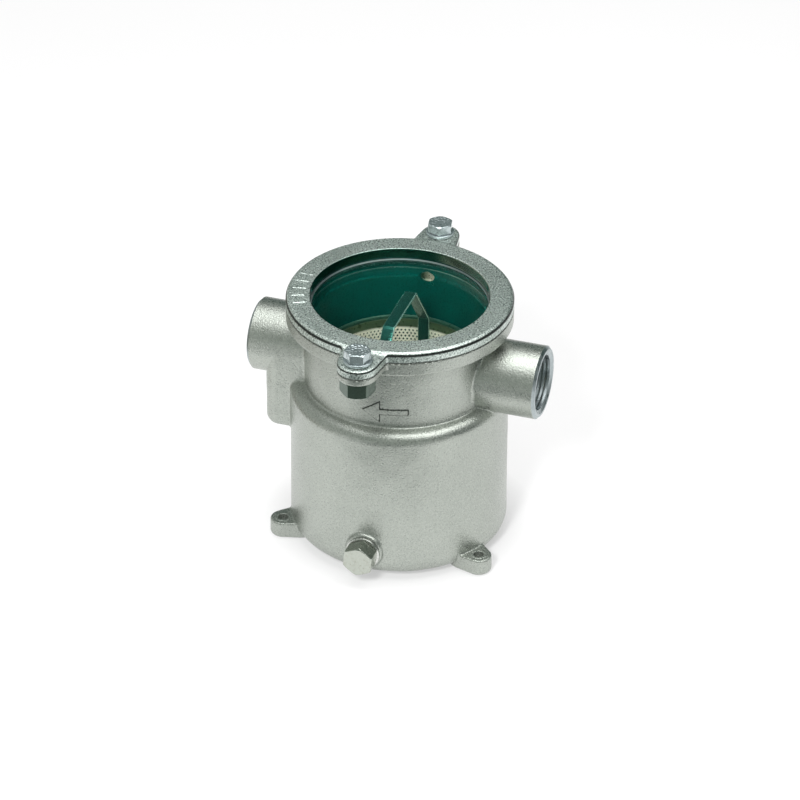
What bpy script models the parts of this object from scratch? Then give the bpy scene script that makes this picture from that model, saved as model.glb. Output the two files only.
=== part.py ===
"""Raw-water strainer with a round glass inspection lid, as an assembly of separate pieces.

Metres, +Z up. The origin is on the barrel's axis, in the plane of the feet's undersides. +X is the
inlet port, -X the outlet port with its down duct, -Y the front with one lid bolt and the drain plug.
"""

from math import acos, atan2, cos, hypot, pi, radians, sin, tan

import bmesh
import bpy
from mathutils import Matrix, Vector

MM = 0.001
GAP = 0.3 * MM
REACH = 3.0 * MM  # how far a cutter starts before, or ends after, what it cuts

# Barrel and neck of the casting
BODY_BOTTOM_Z = 1.0 * MM
BARREL_R_LOW = 61.0 * MM
BARREL_R_HIGH = 60.3 * MM
BARREL_CORNER_R = 7.0 * MM
SHOULDER_Z = 94.7 * MM
SHOULDER_R = 5.0 * MM
NECK_R = 52.3 * MM
NECK_FILLET_R = 3.5 * MM
SHOULDER_FILLET_R = 1.5 * MM
FLANGE_BOTTOM_Z = 134.2 * MM
FLANGE_TOP_Z = 142.25 * MM
FLANGE_R = 62.5 * MM
EDGE = 0.6 * MM

# Inside of the casting
CHAMBER_R = 56.2 * MM
CHAMBER_FLOOR_Z = 6.0 * MM
CHAMBER_TOP_Z = 89.8 * MM
CHAMBER_CORNER_R = 5.0 * MM
LEDGE_Z = 94.0 * MM
LEDGE_R = 46.8 * MM
BORE_R = 48.6 * MM
MACHINED_BORE_R = 49.2 * MM
MACHINED_BORE_Z = 129.0 * MM
GLASS_SEAT_Z = 134.6 * MM
GLASS_SEAT_R = 53.0 * MM
VENT_POCKET_R = 4.7 * MM
VENT_POCKET_DEPTH = 2.0 * MM
VENT_POCKET_Z = 128.7 * MM

# Ports and the outlet's down duct
PORT_Z = 107.8 * MM
PORT_R = 20.4 * MM
PORT_END_X = 83.0 * MM
PORT_ROOT_X = 45.0 * MM
PORT_EDGE = 1.0 * MM
PORT_BORE_R = 15.15 * MM
PORT_MOUTH_R = 17.3 * MM
DUCT_OUTER_X = 73.5 * MM
DUCT_BOTTOM_Z = 60.0 * MM
DUCT_CORNER_R = 8.0 * MM
DUCT_WALL = 4.5 * MM
DUCT_HOLLOW_X = NECK_R + 1.2 * MM

# Lid, its ears and its bolts
LID_BOTTOM_Z = FLANGE_TOP_Z + GAP
LID_TOP_Z = 148.6 * MM
LID_OPENING_R = 48.8 * MM
LID_EDGE_R = 1.6 * MM
BOLT_CIRCLE_R = 72.0 * MM
EAR_END_R = 11.0 * MM
EAR_ROOT_HALF = 13.0 * MM
EAR_ROOT_R = 58.0 * MM
LID_EAR_EDGE = 0.8 * MM
LID_EAR_TOP_Z = 147.4 * MM
BODY_EAR_BOTTOM_Z = 138.3 * MM
BOLT_HOLE_R = 4.4 * MM
BOLT_SHANK_R = 3.9 * MM
BOLT_LENGTH = 20.0 * MM
BOLT_HEAD_HEIGHT = 5.3 * MM
BOLT_ACROSS_FLATS = 13.0 * MM
BOLT_TURNS = {"front": radians(13.0), "rear": radians(41.0)}
NUT_HEIGHT = 9.0 * MM
NUT_ACROSS_FLATS = 17.0 * MM
NUT_TURNS = {"front": radians(16.5), "rear": radians(5.0)}
WASHER_R = 8.0 * MM
WASHER_THICKNESS = 1.6 * MM

# Glass and its two gaskets
GLASS_THICKNESS = 5.0 * MM
GLASS_R = GLASS_SEAT_R - 0.4 * MM
SEAL_THICKNESS = 1.2 * MM
CUSHION_THICKNESS = 0.6 * MM
SMALL_EDGE = 0.4 * MM

# Basket
SCREEN_R = 45.2 * MM
SHEET = 0.8 * MM
BASKET_BOTTOM_Z = 10.0 * MM
BASE_LIP_HEIGHT = 6.0 * MM
COLLAR_R = 46.8 * MM
COLLAR_TOP_Z = 104.5 * MM
RIM_R = 48.2 * MM
RIM_THICKNESS = 1.6 * MM
SCREEN_TOP_Z = 102.5 * MM
STRAP_WIDTH = 6.8 * MM
STRAP_THICKNESS = 1.5 * MM
STRAP_TOP_Z = 136.0 * MM
STRAP_TOP_HALF = 19.6 * MM
STRAP_BEND_Z = 105.7 * MM
STRAP_FOOT_Z = 70.0 * MM
STRAP_BEND_R = 2.5 * MM
RIVET_R = 1.5 * MM
RIVET_HEAD_R = 2.7 * MM
RIVET_HEAD_HEIGHT = 0.8 * MM
RIVET_HEIGHTS = {"upper": 87.0 * MM, "lower": 77.0 * MM}

# Feet
FOOT_ANGLES = (-30.0, 90.0, 210.0)
FOOT_HOLE_CIRCLE_R = 66.5 * MM
FOOT_HOLE_R = 2.75 * MM
FOOT_END_R = 7.3 * MM
FOOT_ROOT_HALF = 15.0 * MM
FOOT_ROOT_R = 56.0 * MM
FOOT_HEIGHT = 10.2 * MM

# Drain plug on the front
DRAIN_Z = 18.4 * MM
DRAIN_BOSS_R = 10.6 * MM
DRAIN_BOSS_ROOT = 57.0 * MM
DRAIN_BOSS_FACE = 62.4 * MM
DRAIN_HOLE_R = 5.9 * MM
DRAIN_SHANK_R = 5.5 * MM
DRAIN_SHANK_LENGTH = 11.0 * MM
DRAIN_WASHER_R = 9.5 * MM
DRAIN_WASHER_THICKNESS = 1.5 * MM
DRAIN_HEX_ACROSS_FLATS = 16.0 * MM
DRAIN_HEX_LENGTH = 9.0 * MM
DRAIN_HEX_TURN = radians(24.0)

# Number of sides of round shapes
SIDES_LARGE = 72
SIDES_PORT = 40
SIDES_MEDIUM = 32
SIDES_SMALL = 20
SIDES_RIVET = 12


def clear_scene():
    for obj in list(bpy.data.objects):
        bpy.data.objects.remove(obj)


def new_collection(name):
    collection = bpy.data.collections.new(name)
    bpy.context.scene.collection.children.link(collection)
    return collection


def new_material(name, colour, roughness, metallic, transmission=0.0):
    material = bpy.data.materials.new(name)
    material.use_nodes = True
    shader = material.node_tree.nodes["Principled BSDF"]
    shader.inputs["Base Color"].default_value = (*colour, 1.0)
    shader.inputs["Roughness"].default_value = roughness
    shader.inputs["Metallic"].default_value = metallic
    shader.inputs["Transmission Weight"].default_value = transmission
    return material


def new_object(name, mesh, material=None):
    """A piece of the strainer, or a cutter if it has no material."""
    obj = bpy.data.objects.new(name, mesh)
    if material is None:
        HELPERS.objects.link(obj)
        obj.hide_render = True
        obj.display_type = "WIRE"
    else:
        STRAINER.objects.link(obj)
        mesh.materials.append(material)
        mesh.shade_smooth()
        mesh.set_sharp_from_angle(angle=radians(35.0))
    return obj


def arc(centre, radius, start, end, steps):
    """Points on a circular arc, angles in degrees."""
    angles = [radians(start + (end - start) * i / steps) for i in range(steps + 1)]
    return [(centre[0] + radius * cos(a), centre[1] + radius * sin(a)) for a in angles]


def turned(name, profile, material=None, sides=SIDES_LARGE):
    """A closed profile of (radius, height) points turned round the Z axis, run down its outer side."""
    mesh = bpy.data.meshes.new(name)
    count = len(profile)
    edges = [(i, (i + 1) % count) for i in range(count)]
    mesh.from_pydata([(r, 0.0, z) for r, z in profile], edges, [])
    obj = new_object(name, mesh, material)
    screw = obj.modifiers.new("turn", "SCREW")
    screw.axis = "Z"
    screw.steps = sides
    screw.render_steps = sides
    screw.use_merge_vertices = True
    screw.merge_threshold = 0.00001
    screw.use_smooth_shade = True
    return obj


def plate(name, outline, low, high, material=None):
    """A flat outline in the XY plane, given its thickness between two heights."""
    curve = bpy.data.curves.new(name, "CURVE")
    curve.dimensions = "2D"
    curve.fill_mode = "BOTH"
    curve.extrude = (high - low) / 2
    spline = curve.splines.new("POLY")
    spline.points.add(len(outline) - 1)
    for point, (x, y) in zip(spline.points, outline):
        point.co = (x, y, 0.0, 1.0)
    spline.use_cyclic_u = True
    guide = bpy.data.objects.new(name + "_guide", curve)
    bpy.context.scene.collection.objects.link(guide)
    graph = bpy.context.evaluated_depsgraph_get()
    mesh = bpy.data.meshes.new_from_object(guide.evaluated_get(graph))
    bpy.data.objects.remove(guide)
    shape = bmesh.new()
    shape.from_mesh(mesh)
    bmesh.ops.remove_doubles(shape, verts=shape.verts, dist=1e-6)
    bmesh.ops.translate(shape, verts=shape.verts, vec=(0.0, 0.0, (low + high) / 2))
    bmesh.ops.recalc_face_normals(shape, faces=shape.faces)
    shape.to_mesh(mesh)
    shape.free()
    mesh.name = name
    return new_object(name, mesh, material)


def cylinder(name, radius, start, end, sides=SIDES_SMALL):
    """A cylinder between two points on its axis, to join to a piece or cut from it."""
    start, end = Vector(start), Vector(end)
    shape = bmesh.new()
    bmesh.ops.create_cone(
        shape,
        cap_ends=True,
        segments=sides,
        radius1=radius,
        radius2=radius,
        depth=(end - start).length,
    )
    mesh = bpy.data.meshes.new(name)
    shape.to_mesh(mesh)
    shape.free()
    obj = new_object(name, mesh)
    obj.location = (start + end) / 2
    obj.rotation_euler = (end - start).to_track_quat("Z", "Y").to_euler()
    return obj


def boolean(target, tool, operation):
    modifier = target.modifiers.new(tool.name, "BOOLEAN")
    modifier.operation = operation
    modifier.object = tool
    modifier.solver = "EXACT"


def add(target, *tools):
    for tool in tools:
        boolean(target, tool, "UNION")


def cut(target, *tools):
    for tool in tools:
        boolean(target, tool, "DIFFERENCE")


def bevel(obj, width, segments=2, angle=40.0):
    modifier = obj.modifiers.new("edges", "BEVEL")
    modifier.width = width
    modifier.segments = segments
    modifier.limit_method = "ANGLE"
    modifier.angle_limit = radians(angle)


def lug_outline(root_half, root_r, end_r, centre_r, angle):
    """A lug that narrows from its root to a round end, pointing outwards at this angle in degrees."""
    reach = hypot(root_half, centre_r - root_r)
    to_root = atan2(root_r - centre_r, root_half)
    tangent = to_root + acos(end_r / reach)
    steps = 12
    ends = [tangent + (pi - 2 * tangent) * i / steps for i in range(steps + 1)]
    points = [(root_half, root_r)]
    points += [(end_r * cos(a), centre_r + end_r * sin(a)) for a in ends]
    points.append((-root_half, root_r))
    turn = radians(angle - 90.0)
    return [(x * cos(turn) - y * sin(turn), x * sin(turn) + y * cos(turn)) for x, y in points]


def rounded_path(points, radius, steps=4):
    """The path with each inner corner replaced by an arc of this radius."""
    path = [Vector(points[0])]
    for before, corner, after in zip(points, points[1:], points[2:]):
        corner = Vector(corner)
        back = (Vector(before) - corner).normalized()
        ahead = (Vector(after) - corner).normalized()
        half = back.angle(ahead) / 2
        centre = corner + (back + ahead).normalized() * radius / sin(half)
        first = corner + back * radius / tan(half) - centre
        sweep = first.angle_signed(corner + ahead * radius / tan(half) - centre)
        for i in range(steps + 1):
            path.append(centre + Matrix.Rotation(-sweep * i / steps, 2) @ first)
    path.append(Vector(points[-1]))
    return path


def ribbon_outline(path, thickness):
    """The closed outline of a ribbon of even thickness along a path in a plane."""
    sides = ([], [])
    for i, point in enumerate(path):
        before = path[max(i - 1, 0)]
        after = path[min(i + 1, len(path) - 1)]
        along = (after - before).normalized()
        across = Vector((-along.y, along.x)) * thickness / 2
        sides[0].append(point + across)
        sides[1].append(point - across)
    return [tuple(p) for p in sides[0] + sides[1][::-1]]


def hex_radius(across_flats):
    return across_flats / 2 / cos(pi / 6)


def make_casting(material):
    """Barrel, neck, flange, ports, duct, ears, feet and drain boss in one casting, then its hollows."""
    low_corner = BODY_BOTTOM_Z + BARREL_CORNER_R
    outer = [(0.0, FLANGE_TOP_Z), (FLANGE_R - EDGE, FLANGE_TOP_Z), (FLANGE_R, FLANGE_TOP_Z - EDGE)]
    outer += [(FLANGE_R, FLANGE_BOTTOM_Z + EDGE), (FLANGE_R - EDGE, FLANGE_BOTTOM_Z)]
    fillet = (NECK_R + NECK_FILLET_R, FLANGE_BOTTOM_Z - NECK_FILLET_R)
    outer += arc(fillet, NECK_FILLET_R, 90.0, 180.0, 5)
    root = (NECK_R + SHOULDER_FILLET_R, SHOULDER_Z + SHOULDER_FILLET_R)
    outer += arc(root, SHOULDER_FILLET_R, 180.0, 270.0, 2)
    outer += arc((BARREL_R_HIGH - SHOULDER_R, SHOULDER_Z - SHOULDER_R), SHOULDER_R, 90.0, 0.0, 5)
    outer += arc((BARREL_R_LOW - BARREL_CORNER_R, low_corner), BARREL_CORNER_R, 0.0, -90.0, 6)
    outer.append((0.0, BODY_BOTTOM_Z))
    casting = turned("body_casting", outer, material)

    for side, name in ((1, "inlet"), (-1, "outlet")):
        start = (side * PORT_ROOT_X, 0, PORT_Z)
        end = (side * PORT_END_X, 0, PORT_Z)
        tube = cylinder(name + "_tube", PORT_R, start, end, SIDES_PORT)
        bevel(tube, PORT_EDGE)
        add(casting, tube)
    add(casting, duct_block("duct_outside", 0.0))
    for sign in (-1, 1):
        outline = lug_outline(EAR_ROOT_HALF, EAR_ROOT_R, EAR_END_R, BOLT_CIRCLE_R, sign * 90.0)
        ear = plate(f"flange_ear_{sign}", outline, BODY_EAR_BOTTOM_Z, FLANGE_TOP_Z)
        bevel(ear, EDGE, segments=1)
        add(casting, ear)
    for angle in FOOT_ANGLES:
        outline = lug_outline(FOOT_ROOT_HALF, FOOT_ROOT_R, FOOT_END_R, FOOT_HOLE_CIRCLE_R, angle)
        foot = plate(f"foot_{angle:.0f}", outline, 0.0, FOOT_HEIGHT)
        bevel(foot, EDGE, segments=1)
        add(casting, foot)
    add(casting, front_cylinder("drain_boss", DRAIN_BOSS_R, DRAIN_BOSS_ROOT, DRAIN_BOSS_FACE, SIDES_MEDIUM))

    cut(casting, make_hollow(), duct_block("duct_inside", DUCT_WALL))
    cut(casting, port_bore("inlet_bore", 1, BORE_R - REACH))
    cut(casting, port_bore("outlet_bore", -1, DUCT_HOLLOW_X))
    for sign in (-1, 1):
        low = BODY_EAR_BOTTOM_Z - REACH
        high = FLANGE_TOP_Z + REACH
        cut(casting, upright_hole(f"ear_hole_{sign}", BOLT_HOLE_R, 0, sign * BOLT_CIRCLE_R, low, high))
    for angle in FOOT_ANGLES:
        x = FOOT_HOLE_CIRCLE_R * cos(radians(angle))
        y = FOOT_HOLE_CIRCLE_R * sin(radians(angle))
        cut(casting, upright_hole(f"foot_hole_{angle:.0f}", FOOT_HOLE_R, x, y, -REACH, FOOT_HEIGHT + REACH))
    cut(casting, front_cylinder("drain_hole", DRAIN_HOLE_R, CHAMBER_R - REACH, DRAIN_BOSS_FACE + REACH))
    start = (0, BORE_R - REACH, VENT_POCKET_Z)
    end = (0, BORE_R + VENT_POCKET_DEPTH, VENT_POCKET_Z)
    cut(casting, cylinder("vent_pocket", VENT_POCKET_R, start, end))
    return casting


def make_hollow():
    """The chamber below the ledge, the neck's bore above it and the seat of the glass."""
    profile = [(0.0, FLANGE_TOP_Z + REACH), (GLASS_SEAT_R, FLANGE_TOP_Z + REACH)]
    profile += [(GLASS_SEAT_R, GLASS_SEAT_Z), (MACHINED_BORE_R + EDGE, GLASS_SEAT_Z)]
    profile += [(MACHINED_BORE_R, GLASS_SEAT_Z - EDGE), (MACHINED_BORE_R, MACHINED_BORE_Z)]
    profile += [(BORE_R, MACHINED_BORE_Z - EDGE), (BORE_R, LEDGE_Z), (LEDGE_R, LEDGE_Z)]
    profile += [(LEDGE_R, CHAMBER_TOP_Z)]
    corner_r = CHAMBER_R - CHAMBER_CORNER_R
    profile += arc((corner_r, CHAMBER_TOP_Z - CHAMBER_CORNER_R), CHAMBER_CORNER_R, 90.0, 0.0, 4)
    profile += arc((corner_r, CHAMBER_FLOOR_Z + CHAMBER_CORNER_R), CHAMBER_CORNER_R, 0.0, -90.0, 4)
    profile.append((0.0, CHAMBER_FLOOR_Z))
    return turned("hollow", profile)


def duct_block(name, wall):
    """The outlet's duct down the outside of the neck, or with a wall thickness, the hollow inside it."""
    inner_x = PORT_ROOT_X if wall == 0.0 else DUCT_HOLLOW_X
    outer_x = DUCT_OUTER_X - wall
    half = PORT_R - wall
    corner = DUCT_CORNER_R - wall / 2
    outline = [(-inner_x, half), (-inner_x, -half)]
    outline += arc((-outer_x + corner, -half + corner), corner, 270.0, 180.0, 5)
    outline += arc((-outer_x + corner, half - corner), corner, 180.0, 90.0, 5)
    block = plate(name, outline, DUCT_BOTTOM_Z + wall, PORT_Z)
    if wall == 0.0:
        bevel(block, DUCT_CORNER_R * 0.85, segments=4, angle=60.0)
    return block


def port_bore(name, side, inner_x):
    """The bore of a port, with a countersunk mouth."""
    depth = PORT_END_X - inner_x
    mouth = PORT_MOUTH_R - PORT_BORE_R
    profile = [(0.0, depth + REACH), (PORT_MOUTH_R + REACH, depth + REACH), (PORT_MOUTH_R, depth)]
    profile += [(PORT_BORE_R, depth - mouth), (PORT_BORE_R, 0.0), (0.0, 0.0)]
    cutter = turned(name, profile, sides=SIDES_PORT)
    cutter.location = (side * inner_x, 0.0, PORT_Z)
    cutter.rotation_euler = (0.0, side * pi / 2, 0.0)
    return cutter


def upright_hole(name, radius, x, y, low, high):
    return cylinder(name, radius, (x, y, low), (x, y, high))


def front_cylinder(name, radius, near, far, sides=SIDES_SMALL):
    """A cylinder along the drain plug's axis, between two distances in front of the barrel's axis."""
    return cylinder(name, radius, (0, -near, DRAIN_Z), (0, -far, DRAIN_Z), sides)


def make_lid_ring(material):
    """A flat ring with a round outer edge and an ear for each bolt."""
    top_corner = (FLANGE_R - LID_EDGE_R, LID_TOP_Z - LID_EDGE_R)
    profile = [(LID_OPENING_R + EDGE, LID_TOP_Z)]
    profile += arc(top_corner, LID_EDGE_R, 90.0, 0.0, 3)
    profile += [(FLANGE_R, LID_BOTTOM_Z + EDGE), (FLANGE_R - EDGE, LID_BOTTOM_Z)]
    profile += [(LID_OPENING_R, LID_BOTTOM_Z), (LID_OPENING_R, LID_TOP_Z - EDGE)]
    ring = turned("lid_ring", profile, material)
    for sign in (-1, 1):
        outline = lug_outline(EAR_ROOT_HALF, EAR_ROOT_R, EAR_END_R, BOLT_CIRCLE_R, sign * 90.0)
        ear = plate(f"lid_ear_{sign}", outline, LID_BOTTOM_Z, LID_EAR_TOP_Z)
        bevel(ear, LID_EAR_EDGE)
        add(ring, ear)
        low = LID_BOTTOM_Z - REACH
        high = LID_EAR_TOP_Z + REACH
        cut(ring, upright_hole(f"lid_hole_{sign}", BOLT_HOLE_R, 0, sign * BOLT_CIRCLE_R, low, high))
    return ring


def make_glass(glass, rubber):
    """The glass disc on its seal, with a thin cushion between it and the lid ring."""
    seal_top = GLASS_SEAT_Z + GAP + SEAL_THICKNESS
    flat_ring("glass_seal", MACHINED_BORE_R + EDGE, GLASS_R, seal_top - SEAL_THICKNESS, seal_top, rubber)
    low = seal_top + GAP
    high = low + GLASS_THICKNESS
    profile = [(0.0, high), (GLASS_R - SMALL_EDGE, high), (GLASS_R, high - SMALL_EDGE)]
    profile += [(GLASS_R, low + SMALL_EDGE), (GLASS_R - SMALL_EDGE, low), (0.0, low)]
    turned("glass_disc", profile, glass)
    low = high + GAP
    flat_ring("glass_cushion", LID_OPENING_R + EDGE, GLASS_R, low, low + CUSHION_THICKNESS, rubber)


def flat_ring(name, inner, outer, low, high, material, sides=SIDES_LARGE):
    return turned(name, [(inner, high), (outer, high), (outer, low), (inner, low)], material, sides)


def make_basket(steel):
    """Collar with its seat rim, screen, base, strap handle and the four rivets that hold it."""
    rim_low = LEDGE_Z + GAP
    rim_high = rim_low + RIM_THICKNESS
    inner = SCREEN_R + GAP
    profile = [(inner, COLLAR_TOP_Z - SMALL_EDGE), (inner + SMALL_EDGE, COLLAR_TOP_Z)]
    profile += [(COLLAR_R - SMALL_EDGE, COLLAR_TOP_Z), (COLLAR_R, COLLAR_TOP_Z - SMALL_EDGE)]
    profile += [(COLLAR_R, rim_high), (RIM_R, rim_high), (RIM_R, rim_low), (inner, rim_low)]
    turned("basket_rim", profile, steel)

    screen = flat_ring("basket_screen", SCREEN_R - SHEET, SCREEN_R, BASKET_BOTTOM_Z, SCREEN_TOP_Z, steel)
    lip_r = SCREEN_R - SHEET - GAP
    lip_z = BASKET_BOTTOM_Z + BASE_LIP_HEIGHT
    floor_z = BASKET_BOTTOM_Z + SHEET
    profile = [(0.0, floor_z), (lip_r - SHEET, floor_z), (lip_r - SHEET, lip_z), (lip_r, lip_z)]
    profile += [(lip_r, BASKET_BOTTOM_Z), (0.0, BASKET_BOTTOM_Z)]
    turned("basket_base", profile, steel)

    leg_y = SCREEN_R - SHEET - GAP - STRAP_THICKNESS / 2
    top_z = STRAP_TOP_Z - STRAP_THICKNESS / 2
    points = [(-leg_y, STRAP_FOOT_Z), (-leg_y, STRAP_BEND_Z), (-STRAP_TOP_HALF, top_z)]
    points += [(-y, z) for y, z in points[::-1]]
    path = rounded_path(points, STRAP_BEND_R)
    outline = ribbon_outline(path, STRAP_THICKNESS)
    handle = plate("basket_handle", outline, -STRAP_WIDTH / 2, STRAP_WIDTH / 2, steel)
    handle.data.transform(Matrix(((0, 0, 1, 0), (1, 0, 0, 0), (0, 1, 0, 0), (0, 0, 0, 1))))

    for level, z in RIVET_HEIGHTS.items():
        start = (0, -SCREEN_R - REACH, z)
        end = (0, SCREEN_R + REACH, z)
        hole = cylinder(f"rivet_hole_{level}", RIVET_R + GAP, start, end, SIDES_RIVET)
        cut(screen, hole)
        cut(handle, hole)
        for sign, side in ((-1, "front"), (1, "rear")):
            make_rivet(f"handle_rivet_{side}_{level}", sign, z, leg_y, steel)


def make_rivet(name, sign, z, leg_y, steel):
    """A rivet along Y through a leg of the handle and the screen, with a low domed head at each end."""
    inside = leg_y - STRAP_THICKNESS / 2 - GAP
    outside = SCREEN_R + GAP
    dome = RIVET_HEAD_HEIGHT
    waist = RIVET_HEAD_R * 0.6
    profile = [(0.0, outside + dome), (waist, outside + dome * 0.8), (RIVET_HEAD_R, outside)]
    profile += [(RIVET_R, outside), (RIVET_R, inside), (RIVET_HEAD_R, inside)]
    profile += [(waist, inside - dome * 0.8), (0.0, inside - dome)]
    rivet = turned(name, profile, steel, SIDES_RIVET)
    rivet.location = (0.0, 0.0, z)
    rivet.rotation_euler = (-sign * pi / 2, 0.0, 0.0)


def make_lid_fasteners(steel):
    """A hexagon bolt, a washer under its head and a nut under the ear, at the front and the rear."""
    washer_low = LID_EAR_TOP_Z + GAP
    head_low = washer_low + WASHER_THICKNESS + GAP
    head_high = head_low + BOLT_HEAD_HEIGHT
    shank_end = head_low - BOLT_LENGTH
    nut_high = BODY_EAR_BOTTOM_Z - GAP
    nut_low = nut_high - NUT_HEIGHT
    for sign, side in ((-1, "front"), (1, "rear")):
        y = sign * BOLT_CIRCLE_R
        head = hex_solid(hex_radius(BOLT_ACROSS_FLATS), head_low, head_high, BOLT_TURNS[side])
        bolt = hex_object(f"lid_bolt_{side}", head, steel, (0.0, y, 0.0))
        add(bolt, upright_hole(f"bolt_shank_{side}", BOLT_SHANK_R, 0, y, shank_end, head_low + MM))

        high = washer_low + WASHER_THICKNESS
        washer = flat_ring(f"lid_washer_{side}", BOLT_HOLE_R, WASHER_R, washer_low, high, steel, SIDES_MEDIUM)
        washer.location.y = y

        body = hex_solid(hex_radius(NUT_ACROSS_FLATS), nut_low, nut_high, NUT_TURNS[side])
        nut = hex_object(f"lid_nut_{side}", body, steel, (0.0, y, 0.0))
        low = nut_low - REACH
        cut(nut, upright_hole(f"nut_bore_{side}", BOLT_SHANK_R + GAP, 0, y, low, nut_high + REACH))


def hex_solid(radius, low, high, turn):
    """A hexagon with both ends chamfered, as a mesh, one corner at this angle from +X."""
    shape = bmesh.new()
    chamfer = radius * 0.1
    rise = chamfer * 0.5
    levels = [(low, radius - chamfer), (low + rise, radius), (high - rise, radius), (high, radius - chamfer)]
    rings = []
    for z, r in levels:
        matrix = Matrix.Translation((0, 0, z)) @ Matrix.Rotation(turn - pi / 2, 4, "Z")
        made = bmesh.ops.create_circle(shape, cap_ends=False, segments=6, radius=r, matrix=matrix)
        rings.append(made["verts"])
    shape.faces.new(rings[0][::-1])
    for lower, upper in zip(rings, rings[1:]):
        for i in range(6):
            j = (i + 1) % 6
            shape.faces.new((lower[i], lower[j], upper[j], upper[i]))
    shape.faces.new(rings[-1])
    bmesh.ops.recalc_face_normals(shape, faces=shape.faces)
    mesh = bpy.data.meshes.new("hexagon")
    shape.to_mesh(mesh)
    shape.free()
    return mesh


def hex_object(name, mesh, material, location):
    obj = new_object(name, mesh, material)
    obj.location = location
    return obj


def make_drain_plug(brass, soft_metal):
    """A hexagon-headed plug along -Y with a sealing washer between its head and the boss."""
    washer_low = DRAIN_BOSS_FACE + GAP
    washer_high = washer_low + DRAIN_WASHER_THICKNESS
    low = washer_high + GAP
    head = hex_solid(hex_radius(DRAIN_HEX_ACROSS_FLATS), low, low + DRAIN_HEX_LENGTH, DRAIN_HEX_TURN)
    plug = hex_object("drain_plug", head, brass, (0.0, 0.0, DRAIN_Z))
    plug.rotation_euler = (pi / 2, 0.0, 0.0)
    add(plug, front_cylinder("drain_shank", DRAIN_SHANK_R, low - DRAIN_SHANK_LENGTH, low + MM))
    inner = DRAIN_SHANK_R + GAP
    outer = DRAIN_WASHER_R
    washer = flat_ring("drain_washer", inner, outer, washer_low, washer_high, soft_metal, SIDES_MEDIUM)
    washer.location = (0.0, 0.0, DRAIN_Z)
    washer.rotation_euler = (pi / 2, 0.0, 0.0)


clear_scene()
STRAINER = new_collection("strainer")
HELPERS = new_collection("cutters")

cast_nickel = new_material("cast_nickel", (0.62, 0.63, 0.58), 0.42, 0.9)
bright_steel = new_material("bright_steel", (0.78, 0.79, 0.78), 0.16, 1.0)
sheet_steel = new_material("sheet_steel", (0.70, 0.68, 0.62), 0.3, 1.0)
plated_brass = new_material("plated_brass", (0.74, 0.75, 0.70), 0.25, 1.0)
green_glass = new_material("green_glass", (0.10, 0.45, 0.36), 0.03, 0.0, transmission=1.0)
black_rubber = new_material("black_rubber", (0.03, 0.03, 0.03), 0.7, 0.0)
soft_metal = new_material("soft_metal", (0.74, 0.74, 0.72), 0.35, 1.0)

make_casting(cast_nickel)
make_lid_ring(cast_nickel)
make_glass(green_glass, black_rubber)
make_basket(sheet_steel)
make_lid_fasteners(bright_steel)
make_drain_plug(plated_brass, soft_metal)
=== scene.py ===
"""Looks of the raw-water strainer with a glass inspection lid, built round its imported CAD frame.

Shapes with soft cast edges are written as distance fields in millimetres, in the frame's axes, and
meshed by net_of(). Thin turned pieces come from turned(). Sizes in millimetres follow the CAD solids.
"""

from math import cos, hypot, pi, radians, sin, tan

import bmesh
import bpy
import numpy as np
from mathutils import Matrix, Vector


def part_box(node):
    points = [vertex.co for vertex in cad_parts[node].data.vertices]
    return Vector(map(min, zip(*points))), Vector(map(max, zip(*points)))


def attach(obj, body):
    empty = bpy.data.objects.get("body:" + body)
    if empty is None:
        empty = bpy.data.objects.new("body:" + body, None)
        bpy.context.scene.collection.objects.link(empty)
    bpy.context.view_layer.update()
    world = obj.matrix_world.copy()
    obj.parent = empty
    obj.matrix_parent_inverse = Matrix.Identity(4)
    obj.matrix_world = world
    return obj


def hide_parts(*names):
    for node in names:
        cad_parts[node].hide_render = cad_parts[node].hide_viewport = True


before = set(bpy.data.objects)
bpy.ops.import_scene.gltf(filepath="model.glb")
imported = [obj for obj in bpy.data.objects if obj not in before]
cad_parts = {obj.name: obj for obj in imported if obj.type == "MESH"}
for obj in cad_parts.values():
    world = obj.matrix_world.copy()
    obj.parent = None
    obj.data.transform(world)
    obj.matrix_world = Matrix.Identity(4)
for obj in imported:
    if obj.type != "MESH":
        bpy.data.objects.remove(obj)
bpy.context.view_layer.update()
MM = 0.001


def node_box(name):
    """A CAD node's lowest and highest corners, in millimetres."""
    low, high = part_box(name)
    return low / MM, high / MM


# Driving sizes, read from the frame
RING_LOW, RING_HIGH = node_box("lid_ring")
CAST_LOW, CAST_HIGH = node_box("body_casting")
GLASS_LOW, GLASS_HIGH = node_box("glass_disc")
RIM_LOW, RIM_HIGH = node_box("basket_rim")
SCREEN_LOW, SCREEN_HIGH = node_box("basket_screen")
BOLT_LOW, BOLT_HIGH = node_box("lid_bolt_front")
NUT_LOW, NUT_HIGH = node_box("lid_nut_front")
PLUG_LOW, PLUG_HIGH = node_box("drain_plug")
PLUG_WASHER_LOW, PLUG_WASHER_HIGH = node_box("drain_washer")
WASHER_LOW, WASHER_HIGH = node_box("lid_washer_front")

FLANGE_R = RING_HIGH.x
BOLT_Y = -(WASHER_LOW.y + WASHER_HIGH.y) / 2
DRAIN_Z = (PLUG_WASHER_LOW.z + PLUG_WASHER_HIGH.z) / 2
PORT_END_X = CAST_HIGH.x
FLANGE_TOP_Z = CAST_HIGH.z

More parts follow.
